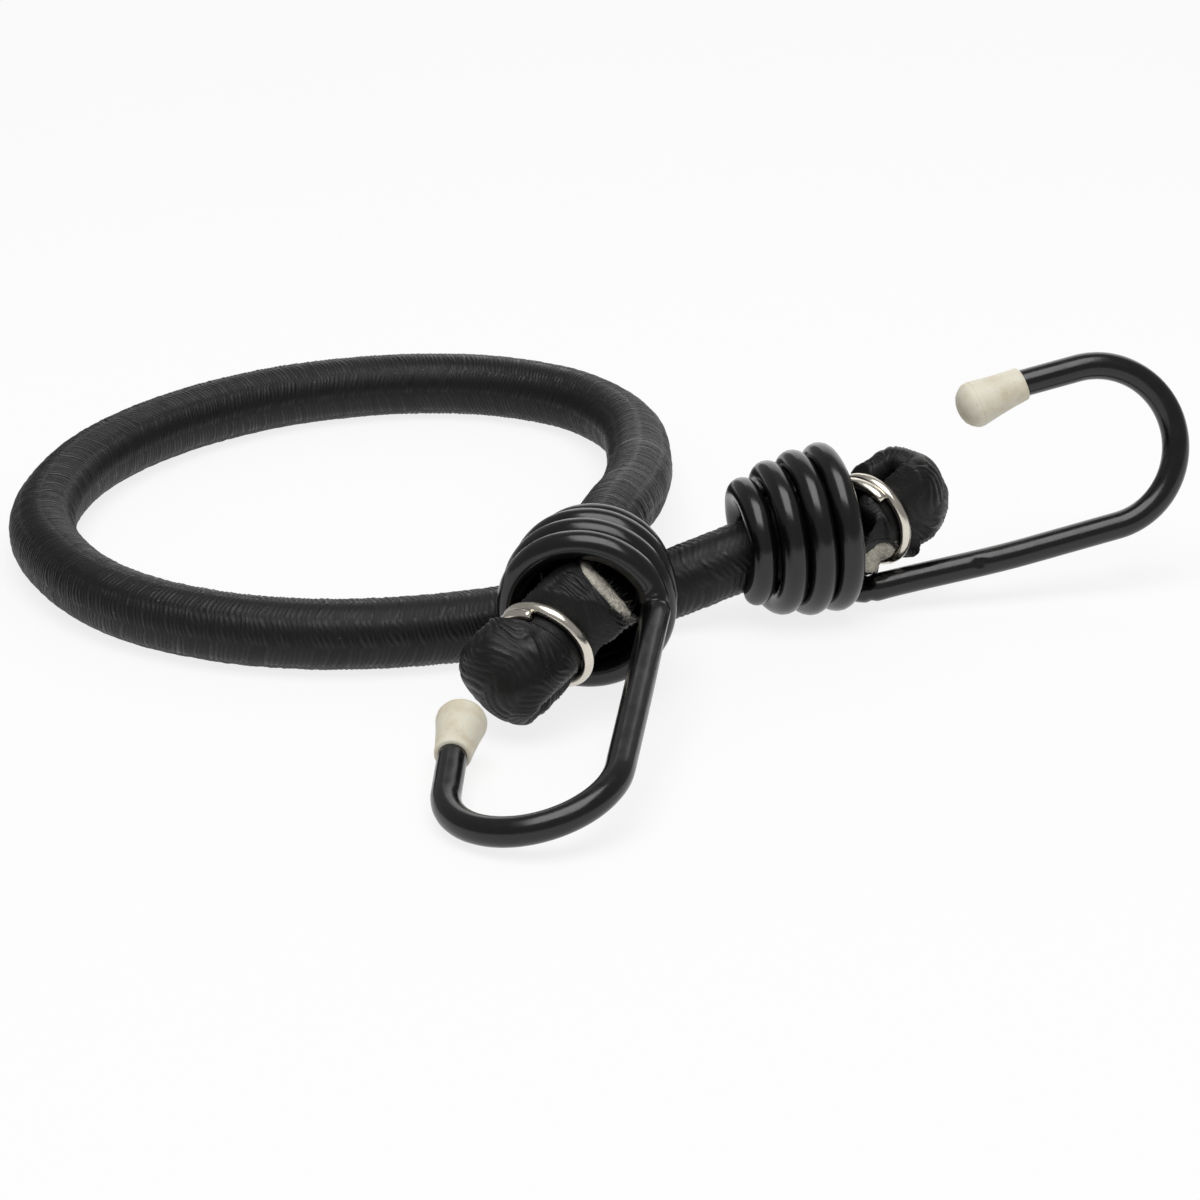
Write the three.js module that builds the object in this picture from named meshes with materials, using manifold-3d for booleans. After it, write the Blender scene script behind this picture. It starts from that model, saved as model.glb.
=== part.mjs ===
// Bungee cord lying in a loose loop, with a coiled wire hook held on each end.
// Millimetres, +Z up, floor at zero height, origin under the middle of the footprint.
import * as THREE from 'three';
import { mergeVertices } from 'three/addons/utils/BufferGeometryUtils.js';
import Module from 'manifold-3d';

const wasm = await Module();
wasm.setup();

// Cord: rubber core in a braided sheath
const CORD_DIAMETER = 10;
const SHEATH_WALL = 0.8;
const CORE_GAP = 0.2;
const FLOOR_PRESS = CORD_DIAMETER / 10;
const JOIN_GAP = 0.3;
const STRAND_LENGTH = 24;

// Doubled end of the cord, pressed flat by its clip
const LEG_THICKNESS = 5.8;
const LEG_WIDTH = 10.6;
const LEG_GAP = 0.3;
const BEND_REACH = 4.6;
const TAIL_REACH = 7;
const ENTRY_EASE = 3;

// Ring clip round the doubled end
const CLIP_WIRE = 1.6;
const CLIP_CLEARANCE = 0.45;
const CLIP_OVERLAP = 36;
const CLIP_END_GAP = 0.5;
const FULL_TURN = 360;

// Hook: steel wire in a plastic sleeve, wound into a tapered coil
const STEEL_DIAMETER = 3;
const SLEEVE_GAP = 0.1;
const SLEEVE_WALL = 0.4;
const COIL_TURNS = 4;
const TURN_GAP = 0.5;
const CONE_POWER = 3;
const BORE_CLEARANCE = 0.3;
const MOUTH_BORE = 16.6;
const CORNER = 3.5;
const SHANK_LENGTH = 38.5;
const SHANK_TOE = 2;
const SHANK_SWING = 5;
const BEND_RADIUS = 11.65;
const ARM_LENGTH = 8;

// Soft cap on the hook's tip
const CAP_LENGTH = 11;
const CAP_RIM = 5;
const CAP_WIDEST = 6.8;
const CAP_BORE_DEPTH = 7.5;
const CAP_CLEARANCE = 0.2;

// Where each coil's mouth lies and how its hook is turned: heading, rise and roll in degrees
const FRONT_END = { at: [-2.15, -39.3, 13.2], heading: -97.1, rise: -5.5, roll: 192.4 };
const REAR_END = { at: [36.55, -1.35, 12.9], heading: 17.8, rise: 7.6, roll: 69.4 };
// Where each clip sits from its coil's mouth, and how the doubled end leans and is turned there
const FRONT_FOLD = { along: 6, aside: 3.8, lean: 34, turned: 12 };
const REAR_FOLD = { along: 4.8, aside: 1.5, lean: 24, turned: -25 };
const FOOTPRINT_SHIFT = [1.49, -0.38];

// Sides and steps of the facets
const CORD_SIDES = 12;
const CORE_SIDES = 8;
const WIRE_SIDES = 8;
const STEEL_SIDES = 6;
const WIRE_STEP = 2.8;
const CORD_STEP = 8;
const STRAND_STEP = 4;
const LEG_STEP = 1.7;
const CLIP_STEPS = 32;
const CAP_SIDES = 14;

// Sizes that follow from the ones above
const cordRadius = CORD_DIAMETER / 2;
const restHeight = cordRadius - FLOOR_PRESS;
const sleeveBore = STEEL_DIAMETER / 2 + SLEEVE_GAP;
const wireRadius = sleeveBore + SLEEVE_WALL;
const pitch = 2 * wireRadius + TURN_GAP;
const coilLength = COIL_TURNS * pitch;
const smallRadius = cordRadius + BORE_CLEARANCE + wireRadius;
const largeRadius = MOUTH_BORE / 2 + wireRadius;
const legOffset = (LEG_THICKNESS + LEG_GAP) / 2;

const radians = THREE.MathUtils.degToRad;
const vec = (x, y, z) => new THREE.Vector3(x, y, z);

// A curve put together from pieces, each with its own length and formula
class Route extends THREE.Curve {
  constructor(pieces) {
    super();
    this.pieces = pieces;
    this.total = pieces.reduce((sum, piece) => sum + piece.length, 0);
    this.arcLengthDivisions = 2000;
  }

  getPoint(t, target = new THREE.Vector3()) {
    let left = THREE.MathUtils.clamp(t, 0, 1) * this.total;
    for (const piece of this.pieces) {
      if (left <= piece.length || piece === this.pieces.at(-1)) {
        return target.copy(piece.at(Math.min(left / piece.length, 1)));
      }
      left -= piece.length;
    }
    return target;
  }
}

// A stretch of another curve between two distances along it
class Stretch extends THREE.Curve {
  constructor(curve, from, to) {
    super();
    this.curve = curve;
    this.from = from / curve.getLength();
    this.to = to / curve.getLength();
  }

  getPoint(t, target = new THREE.Vector3()) {
    return this.curve.getPointAt(THREE.MathUtils.lerp(this.from, this.to, t), target);
  }
}

function line(from, to) {
  return { length: from.distanceTo(to), at: (share) => from.clone().lerp(to, share) };
}

function curved(at, samples = 240) {
  let length = 0;
  for (let k = 1; k <= samples; k += 1) {
    length += at((k - 1) / samples).distanceTo(at(k / samples));
  }
  return { length, at };
}

function easedCorner(from, corner, to) {
  const curve = new THREE.QuadraticBezierCurve3(from, corner, to);
  return curved((share) => curve.getPoint(share));
}

function arc(centre, along, across, radius, start, end) {
  return curved((share) => {
    const angle = radians(THREE.MathUtils.lerp(start, end, share));
    return centre.clone()
      .addScaledVector(along, radius * Math.cos(angle))
      .addScaledVector(across, radius * Math.sin(angle));
  });
}

// Section outlines: x runs along a tube's normal and y along its binormal
function oval(halfX, halfY, sides, turn = 0) {
  return Array.from({ length: sides }, (_, k) => {
    const angle = 2 * Math.PI * (k + turn) / sides;
    return new THREE.Vector2(halfX * Math.cos(angle), halfY * Math.sin(angle));
  });
}

function tube(curve, steps, outline, bore = null) {
  const section = new THREE.Shape(outline);
  if (bore) {
    section.holes.push(new THREE.Path(bore));
  }
  return new THREE.ExtrudeGeometry(section, { steps, extrudePath: curve });
}

function pressedOnFloor(geometry, height) {
  const place = geometry.getAttribute('position');
  for (let k = 0; k < place.count; k += 1) {
    place.setZ(k, Math.max(place.getZ(k), height));
  }
  return geometry;
}

function solid(geometry) {
  const plain = geometry.clone();
  plain.deleteAttribute('normal');
  plain.deleteAttribute('uv');
  const merged = mergeVertices(plain, 1e-4);
  const vertProperties = new Float32Array(merged.getAttribute('position').array);
  const triVerts = new Uint32Array(merged.getIndex().array);
  return new wasm.Manifold(new wasm.Mesh({ numProp: 3, vertProperties, triVerts }));
}

function fromSolid(body) {
  const mesh = body.getMesh();
  const geometry = new THREE.BufferGeometry();
  geometry.setAttribute('position', new THREE.BufferAttribute(mesh.vertProperties, 3));
  geometry.setIndex(new THREE.BufferAttribute(mesh.triVerts, 1));
  geometry.computeVertexNormals();
  return geometry;
}

function piece(name, geometry, look) {
  const mesh = new THREE.Mesh(geometry, new THREE.MeshStandardMaterial(look));
  mesh.name = name;
  return mesh;
}

const LOOKS = {
  sheath: { color: 0x19191a, roughness: 0.8, metalness: 0 },
  core: { color: 0xcfcabb, roughness: 0.85, metalness: 0 },
  sleeve: { color: 0x121213, roughness: 0.3, metalness: 0 },
  steel: { color: 0x8c8d90, roughness: 0.4, metalness: 1 },
  clip: { color: 0xc9c5bb, roughness: 0.25, metalness: 1 },
  cap: { color: 0xdcd6c4, roughness: 0.55, metalness: 0 },
};

// An end's own frame: x along the coil axis out of its mouth, y from the shank towards the tip
function endFrame({ at, heading, rise, roll }) {
  const level = Math.cos(radians(rise));
  const x = vec(Math.cos(radians(heading)) * level, Math.sin(radians(heading)) * level, Math.sin(radians(rise)));
  const side = vec(0, 0, 1).cross(x).normalize();
  const top = x.clone().cross(side);
  const y = side.multiplyScalar(Math.cos(radians(roll))).addScaledVector(top, Math.sin(radians(roll)));
  const frame = new THREE.Group();
  frame.quaternion.setFromRotationMatrix(new THREE.Matrix4().makeBasis(x, y, x.clone().cross(y)));
  frame.position.set(...at);
  frame.updateMatrix();
  return frame;
}

// Hook wire: from the capped tip back along arm, bend and shank into the coil's shrinking turns
const toe = radians(SHANK_TOE);
const swing = radians(SHANK_SWING);
const shankWay = vec(Math.cos(toe) * Math.cos(swing), Math.sin(toe), Math.cos(toe) * Math.sin(swing));
const mouthWay = vec(-Math.sin(toe) * Math.cos(swing), Math.cos(toe), -Math.sin(toe) * Math.sin(swing));
const shankRoot = vec(0, -largeRadius, 0);
const shankEnd = shankRoot.clone().addScaledVector(shankWay, SHANK_LENGTH);
const bendCentre = shankEnd.clone().addScaledVector(mouthWay, BEND_RADIUS);
const armRoot = bendCentre.clone().addScaledVector(mouthWay, BEND_RADIUS);
const capRim = armRoot.clone().addScaledVector(shankWay, -ARM_LENGTH);
const wireTip = capRim.clone().addScaledVector(shankWay, JOIN_GAP - CAP_BORE_DEPTH);

function coilPoint(turnsFromMouth) {
  const share = turnsFromMouth / COIL_TURNS;
  const radius = THREE.MathUtils.lerp(largeRadius, smallRadius, share ** CONE_POWER);
  const angle = Math.PI * (1 + 2 * turnsFromMouth);
  return vec(-pitch * turnsFromMouth, radius * Math.cos(angle), radius * Math.sin(angle));
}

function hookRoute() {
  const cornerTurn = CORNER / (2 * Math.PI * largeRadius);
  const coil = curved((share) => coilPoint(THREE.MathUtils.lerp(cornerTurn, COIL_TURNS, share)), 2000);
  const coilEnd = coilPoint(COIL_TURNS);
  const lastStep = coilPoint(COIL_TURNS - 0.001);
  const endWay = coilEnd.clone().sub(lastStep).normalize();
  const shankStart = shankRoot.clone().addScaledVector(shankWay, CORNER);
  return new Route([
    line(wireTip, armRoot),
    arc(bendCentre, shankWay, mouthWay, BEND_RADIUS, 90, -90),
    line(shankEnd, shankStart),
    easedCorner(shankStart, shankRoot, coilPoint(cornerTurn)),
    coil,
    line(coilEnd, coilEnd.clone().addScaledVector(endWay, 2 * wireRadius)),
  ]);
}

function leastCoilGap() {
  const samples = 60 * COIL_TURNS;
  const points = Array.from({ length: samples + 1 }, (_, k) => coilPoint(COIL_TURNS * k / samples));
  let least = Infinity;
  points.forEach((point, k) => {
    for (const other of points.slice(k + 30)) {
      least = Math.min(least, point.distanceTo(other));
    }
  });
  return least - 2 * wireRadius;
}

function hook(name) {
  const route = hookRoute();
  const steps = Math.ceil(route.total / WIRE_STEP);
  const sleeve = tube(route, steps, oval(wireRadius, wireRadius, WIRE_SIDES, 0.5),
    oval(sleeveBore, sleeveBore, STEEL_SIDES));
  const steelRadius = STEEL_DIAMETER / 2;
  const steel = tube(route, steps, oval(steelRadius, steelRadius, STEEL_SIDES));
  return [
    piece(`${name}_hook_sleeve`, sleeve, LOOKS.sleeve),
    piece(`${name}_hook_steel`, steel, LOOKS.steel),
    tipCap(`${name}_tip_cap`),
  ];
}

function tipCap(name) {
  const bore = wireRadius + CAP_CLEARANCE;
  const dome = CAP_WIDEST / 2;
  const profile = [
    new THREE.Vector2(0, CAP_BORE_DEPTH),
    new THREE.Vector2(bore, CAP_BORE_DEPTH),
    new THREE.Vector2(bore, 0),
    new THREE.Vector2(CAP_RIM / 2, 0),
  ];
  for (let angle = 0; angle <= 90; angle += 22.5) {
    const along = CAP_LENGTH - dome + dome * Math.sin(radians(angle));
    profile.push(new THREE.Vector2(angle === 90 ? 0 : dome * Math.cos(radians(angle)), along));
  }
  const cap = piece(name, new THREE.LatheGeometry(profile, CAP_SIDES), LOOKS.cap);
  cap.quaternion.setFromUnitVectors(vec(0, 1, 0), shankWay.clone().negate());
  cap.position.copy(capRim);
  return cap;
}

// Doubled end: the cord leans out of the coil's mouth, turns back on itself and ends beside it
function foldPlan({ along, aside, lean }) {
  const way = vec(Math.cos(radians(lean)), Math.sin(radians(lean)), 0);
  const side = vec(-way.y, way.x, 0);
  const centre = vec(along, aside, 0);
  const standing = centre.clone().addScaledVector(side, legOffset);
  const tail = centre.clone().addScaledVector(side, -legOffset);
  const corner = standing.clone().addScaledVector(way, -standing.y / way.y);
  const start = corner.clone().add(vec(-ENTRY_EASE, 0, 0));
  return { way, side, centre, standing, tail, corner, start };
}

function bight(name, { way, side, centre, standing, tail, corner, start }) {
  const legStart = corner.clone().addScaledVector(way, ENTRY_EASE);
  const standingEnd = standing.clone().addScaledVector(way, BEND_REACH);
  const tailStart = tail.clone().addScaledVector(way, BEND_REACH);
  const tailEnd = tail.clone().addScaledVector(way, -TAIL_REACH);
  const turnCentre = centre.clone().addScaledVector(way, BEND_REACH);
  const route = new Route([
    easedCorner(start, corner, legStart),
    line(legStart, standingEnd),
    arc(turnCentre, way, side, legOffset, 90, -90),
    line(tailStart, tailEnd),
  ]);
  const steps = Math.ceil(route.total / LEG_STEP);
  const section = (inset, sides) => oval(LEG_WIDTH / 2 - inset, LEG_THICKNESS / 2 - inset, sides);
  const sheath = tube(route, steps, section(0, CORD_SIDES), section(SHEATH_WALL, CORE_SIDES));
  const core = tube(route, steps, section(SHEATH_WALL + CORE_GAP, CORE_SIDES));
  console.log(`${name} doubled end: ${route.total.toFixed(1)} mm of cord`);
  return [
    piece(`${name}_bight_sheath`, sheath, LOOKS.sheath),
    piece(`${name}_bight_core`, core, LOOKS.core),
  ];
}

// Ring clip: one turn of wire, a rounded oval whose ends pass side by side
function clip(name, { way, side, centre }) {
  const reach = CLIP_CLEARANCE + CLIP_WIRE / 2;
  const halfThick = LEG_THICKNESS + LEG_GAP / 2 + reach;
  const halfWide = LEG_WIDTH / 2 + reach;
  const swept = FULL_TURN + CLIP_OVERLAP;
  const drift = (CLIP_WIRE + CLIP_END_GAP) * swept / FULL_TURN;
  const squared = (value) => Math.sign(value) * Math.abs(value) ** (2 / 3);
  const route = new Route([curved((share) => {
    const angle = radians(swept * (share - 0.5));
    return centre.clone()
      .addScaledVector(side, -halfThick * squared(Math.cos(angle)))
      .addScaledVector(way, drift * (share - 0.5))
      .add(vec(0, 0, halfWide * squared(Math.sin(angle))));
  })]);
  const outline = oval(CLIP_WIRE / 2, CLIP_WIRE / 2, STEEL_SIDES);
  return piece(`${name}_clip`, tube(route, CLIP_STEPS, outline), LOOKS.clip);
}

function cordEnd(name, setting, fold) {
  const frame = endFrame(setting);
  const plan = foldPlan(fold);
  const doubled = new THREE.Group();
  doubled.rotation.x = radians(fold.turned);
  doubled.add(...bight(name, plan), clip(name, plan));
  frame.add(...hook(name), doubled);
  return { frame, strandEnd: plan.start.x };
}

// Cord's way from the front coil, over its own other strand, round the loop and into the rear coil
function cordRoute(front, rear) {
  const onAxis = (end, x) => vec(x, 0, 0).applyMatrix4(end.frame.matrix);
  const coilEntry = -coilLength - wireRadius;
  const low = restHeight;
  const free = [
    [0.7, -13.4, 15.6], [2.4, -4, 15], [4.6, 10.5, 12.5], [5.8, 24, 10.6], [6.1, 37, 8],
    [4.9, 57.5, 5.7], [0, 71.3, low], [-6.4, 78.5, low], [-17.9, 84.2, low], [-28, 85.4, low],
    [-37.5, 84.3, low], [-49.6, 80.1, low], [-58.4, 74.6, low], [-67.5, 66.2, low], [-75.4, 55.2, low],
    [-81, 42.5, low], [-84, 24, low], [-82.4, 10.5, low], [-77.3, -1.7, low], [-72, -9.8, low],
    [-66.7, -15.2, low], [-60.5, -19.6, low], [-51.1, -23.8, low], [-41.6, -25.7, low], [-33.8, -25.8, low],
    [-25.4, -24.6, low], [-14.5, -21.2, low], [-7, -16.6, low], [0, -12.4, low], [5, -10.5, 5.2],
    [10, -9.3, 6.8],
  ].map((point) => vec(...point));
  const route = new THREE.CatmullRomCurve3([
    onAxis(front, front.strandEnd), onAxis(front, (coilEntry + front.strandEnd) / 2), onAxis(front, coilEntry),
    ...free,
    onAxis(rear, coilEntry), onAxis(rear, (coilEntry + rear.strandEnd) / 2), onAxis(rear, rear.strandEnd),
  ]);
  route.arcLengthDivisions = 2000;
  return route;
}

// Each stretch is flat underneath where it lies on the floor, and its layers stay nested there
function stretchOfCord(name, route, from, to, step) {
  const curve = new Stretch(route, from, to);
  const openEnds = new Stretch(route, from - JOIN_GAP / 2, to + JOIN_GAP / 2);
  const steps = Math.ceil((to - from) / step);
  const bore = cordRadius - SHEATH_WALL;
  const coreRadius = bore - CORE_GAP;
  const outside = pressedOnFloor(tube(curve, steps, oval(cordRadius, cordRadius, CORD_SIDES)), 0);
  const cavity = pressedOnFloor(tube(openEnds, steps, oval(bore, bore, CORE_SIDES)), SHEATH_WALL);
  const core = pressedOnFloor(tube(curve, steps, oval(coreRadius, coreRadius, CORE_SIDES)),
    SHEATH_WALL + CORE_GAP);
  return [
    piece(`${name}_sheath`, fromSolid(solid(outside).subtract(solid(cavity))), LOOKS.sheath),
    piece(`${name}_core`, core, LOOKS.core),
  ];
}

function cord(front, rear) {
  const route = cordRoute(front, rear);
  const length = route.getLength();
  const loopEnd = length - STRAND_LENGTH - JOIN_GAP;
  console.log(`cord between the doubled ends: ${length.toFixed(1)} mm`);
  return [
    ...stretchOfCord('front_strand', route, JOIN_GAP, STRAND_LENGTH, STRAND_STEP),
    ...stretchOfCord('loop', route, STRAND_LENGTH + JOIN_GAP, loopEnd, CORD_STEP),
    ...stretchOfCord('rear_strand', route, length - STRAND_LENGTH, length - JOIN_GAP, STRAND_STEP),
  ];
}

console.log(`least gap between coil turns: ${leastCoilGap().toFixed(2)} mm`);
const frontEnd = cordEnd('front', FRONT_END, FRONT_FOLD);
const rearEnd = cordEnd('rear', REAR_END, REAR_FOLD);
const bungee = new THREE.Group();
bungee.add(frontEnd.frame, rearEnd.frame, ...cord(frontEnd, rearEnd));
bungee.position.set(...FOOTPRINT_SHIFT, 0);

export default bungee;
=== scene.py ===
import math
import bpy
import numpy as np
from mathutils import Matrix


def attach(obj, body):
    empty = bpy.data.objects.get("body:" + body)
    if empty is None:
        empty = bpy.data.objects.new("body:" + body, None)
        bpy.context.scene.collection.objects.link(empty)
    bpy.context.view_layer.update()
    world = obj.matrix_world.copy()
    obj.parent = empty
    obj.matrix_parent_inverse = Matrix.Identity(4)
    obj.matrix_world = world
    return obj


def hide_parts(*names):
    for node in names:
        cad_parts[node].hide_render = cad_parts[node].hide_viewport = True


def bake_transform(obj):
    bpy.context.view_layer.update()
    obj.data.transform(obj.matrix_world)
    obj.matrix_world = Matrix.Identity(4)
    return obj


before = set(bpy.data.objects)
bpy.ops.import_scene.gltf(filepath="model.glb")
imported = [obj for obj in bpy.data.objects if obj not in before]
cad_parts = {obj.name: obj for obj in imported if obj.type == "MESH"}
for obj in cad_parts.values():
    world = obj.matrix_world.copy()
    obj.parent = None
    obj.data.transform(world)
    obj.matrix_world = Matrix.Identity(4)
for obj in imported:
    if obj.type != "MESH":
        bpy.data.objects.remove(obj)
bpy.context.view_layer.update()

# Elastic cord: a bundle of rubber threads in a black polypropylene braid, 10 mm thick, in one length.
# It lies in a loose loop on the floor, passes over itself and rises into the coil of a hook at each end.
MM = 0.001
CORD_RADIUS = 5.0
FOOTPRINT_SHIFT = np.array([1.49, -0.38, 0.0])
STRAND_LENGTH = 24.0
COIL_LENGTH = 18.0
BRAID_COLUMNS = 8
POINTS_PER_COLUMN = 12
RINGS_PER_PICK = 5
PICK_PITCH = 0.69
LOOSE_PICK_PITCH = 0.95
PICK_HEIGHT = 0.2
PICK_SLANT = 1.6
PICK_WANDER = 0.25
PICK_SINK = 0.7
FIRST_PICK = 9
WAVE_COUNT = 9
LOOSE_FROM = 48.0
LOOSE_OVER = 22.0


def end_frame(at, heading, rise, roll):
    """Origin and axes of a cord end: x along the coil axis out of its mouth, y from the shank to the tip."""
    heading, rise, roll = np.radians([heading, rise, roll])
    x = np.array([math.cos(heading) * math.cos(rise), math.sin(heading) * math.cos(rise), math.sin(rise)])
    side = np.cross([0, 0, 1], x)
    side = side / np.linalg.norm(side)
    y = side * math.cos(roll) + np.cross(x, side) * math.sin(roll)
    return np.array(at) + FOOTPRINT_SHIFT, np.column_stack([x, y, np.cross(x, y)])


def placed(end, local):
    """Points of an end's own frame, in millimetres, in the object's frame."""
    origin, axes = end
    return np.asarray(local) @ axes.T + origin


def smooth_line(points, per_span=40):
    """Fine points on a centripetal curve through the given ones."""
    points = np.asarray(points, float)
    padded = np.vstack([2 * points[0] - points[1], points, 2 * points[-1] - points[-2]])
    knots = np.sqrt(np.linalg.norm(np.diff(padded, axis=0), axis=1))
    share = np.linspace(0, 1, per_span, endpoint=False)[:, None]
    fine = []
    for k in range(1, len(padded) - 2):
        before, start, stop, after = padded[k - 1:k + 3]
        d0, d1, d2 = knots[k - 1:k + 2]
        leave = d1 * ((start - before) / d0 - (stop - before) / (d0 + d1) + (stop - start) / d1)
        reach = d1 * ((stop - start) / d1 - (after - start) / (d1 + d2) + (after - stop) / d2)
        fine.append((2 * share**3 - 3 * share**2 + 1) * start + (share**3 - 2 * share**2 + share) * leave
                    + (3 * share**2 - 2 * share**3) * stop + (share**3 - share**2) * reach)
    return np.vstack(fine + [points[-1:]])


def distances(line):
    """Distance along a line at each of its points."""
    return np.concatenate([[0], np.cumsum(np.linalg.norm(np.diff(line, axis=0), axis=1))])


def at_distances(line, wanted):
    """Points of a line at the wanted distances along it."""
    along = distances(line)
    return np.column_stack([np.interp(wanted, along, line[:, k]) for k in range(3)])


def directions(line):
    """Unit direction of a line at each of its points."""
    way = np.gradient(line, axis=0)
    return way / np.linalg.norm(way, axis=1)[:, None]


def untwisted_sides(line, first):
    """Two cross directions at each point, carried along the line without twisting."""
    way = directions(line)
    side = np.empty_like(line)
    last = np.asarray(first, float)
    for k, t in enumerate(way):
        last = last - t * np.dot(last, t)
        last = last / np.linalg.norm(last)
        side[k] = last
    return side, np.cross(way, side)


place = np.arange(BRAID_COLUMNS * POINTS_PER_COLUMN)
turn = 2 * np.pi * place / len(place)
column = place // POINTS_PER_COLUMN
across_column = (place % POINTS_PER_COLUMN + 0.5) / POINTS_PER_COLUMN
zigzag = np.where(column % 2 == 0, 1.0, -1.0) * (across_column - 0.5)


def waviness(along, size, seed):
    """Slow random waves over the cord's surface, mostly from -1 to 1, about one size long in millimetres."""
    luck = np.random.default_rng(seed)
    most = max(1, int(2 * np.pi * CORD_RADIUS / size))
    waves = np.zeros((len(along), len(turn)))
    for _ in range(WAVE_COUNT):
        count = luck.integers(-most, most + 1)
        rate = luck.uniform(0.4, 1.1)
        start = luck.uniform(0, 6.3)
        waves += np.sin(2 * np.pi * rate * along[:, None] / size + count * turn + start)
    return waves / math.sqrt(WAVE_COUNT)


def braid_relief(phase, slant, wander, seed):
    """Height, and tone with painted shade in its grooves, from 0 to 1 of the herringbone picks, at each ring
    and point round the cord.
    """
    pick = (phase[:, None] + slant * zigzag + 0.5 * (column % 2)
            + wander * waviness(phase, 6, seed) + FIRST_PICK)
    number = np.floor(pick).astype(int)
    luck = np.random.default_rng(seed).random((number.max() + 2, BRAID_COLUMNS))[number, column]
    across_pick = 2 * (pick - number) - 1
    rib = 1 - np.abs(across_pick) ** 2.4
    tucked = 1 - 0.6 * np.abs(2 * across_column - 1) ** 6
    # The second value, each pick's random tone times its rib, paints shade into the grooves between picks.
    return rib * tucked * (0.5 + 0.5 * luck + 0.5 * (luck - 0.5) * across_pick), luck * rib


def ring_faces(rings, sides):
    """Quads joining each ring of points to the next, and the ring and side that each corner lies at."""
    ring, side = np.meshgrid(np.arange(rings - 1), np.arange(sides), indexing="ij")
    ring, side = ring.ravel(), side.ravel()
    corners = np.stack([np.stack([ring, side]), np.stack([ring, side + 1]),
                        np.stack([ring + 1, side + 1]), np.stack([ring + 1, side])], axis=2)
    return corners[0] * sides + corners[1] % sides, corners


def make_piece(name, tubes, material, flow=None):
    """Smooth mesh of closed tubes, each given as rings of points in millimetres; flow maps a single tube."""
    points, faces = [], []
    for rings in map(np.asarray, tubes):
        count, sides = rings.shape[:2]
        quads, corners = ring_faces(count, sides)
        ends = [list(range(sides))[::-1], list(range((count - 1) * sides, count * sides))]
        start = sum(map(len, points))
        faces += (quads + start).tolist() + [[k + start for k in end] for end in ends]
        points.append(rings.reshape(-1, 3))
    mesh = bpy.data.meshes.new(name)
    mesh.from_pydata((np.vstack(points) * MM).tolist(), [], faces, shade_flat=False)
    if flow is not None:
        along, lift, around, tone_and_groove_shade = flow
        spread = np.zeros((len(mesh.loops), 2))
        spread[:quads.size, 0] = along[corners[0].ravel()] + lift[corners[1].ravel() % sides]
        spread[:quads.size, 1] = around * corners[1].ravel() / sides
        mesh.uv_layers.new(name="flow").data.foreach_set("uv", spread.astype(np.float32).ravel())
        # This attribute carries each pick's own tone with painted shade in the grooves between picks.
        picks = mesh.attributes.new("pick_tone_and_groove_shade", "FLOAT", "POINT")
        picks.data.foreach_set("value", tone_and_groove_shade.astype(np.float32).ravel())
    mesh.materials.append(material)
    mesh.update()
    piece = bpy.data.objects.new(name, mesh)
    bpy.context.scene.collection.objects.link(piece)
    return piece


def linear(hex_value):
    """Linear colour of an sRGB hex value."""
    parts = [(hex_value >> shift & 255) / 255 for shift in (16, 8, 0)]
    return [c / 12.92 if c <= 0.04045 else ((c + 0.055) / 1.055) ** 2.4 for c in parts] + [1.0]


def new_material(name):
    """Empty node material with its output and its Principled shader."""
    material = bpy.data.materials.new(name)
    material.use_nodes = True
    return material, material.node_tree.nodes["Principled BSDF"]


def add_node(material, kind, inputs, **settings):
    """Adds a node with its settings, and gives each named input its value or its link."""
    made = material.node_tree.nodes.new(kind)
    for name, value in settings.items():
        setattr(made, name, value)
    for name, value in inputs.items():
        if isinstance(value, bpy.types.NodeSocket):
            material.node_tree.links.new(value, made.inputs[name])
        else:
            made.inputs[name].default_value = value
    return made


# Polypropylene multifilament, braided: black satin yarn whose fibres run nearly across the cord.
# The fibres' fine lighter streaks are painted glints, the grooves between picks carry painted shade, each
# pick has its own tone and shines a little differently, and some lint clings to it.
FIBRE_WIDTH = 0.12
LINT_SPACING = 3.2


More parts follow.
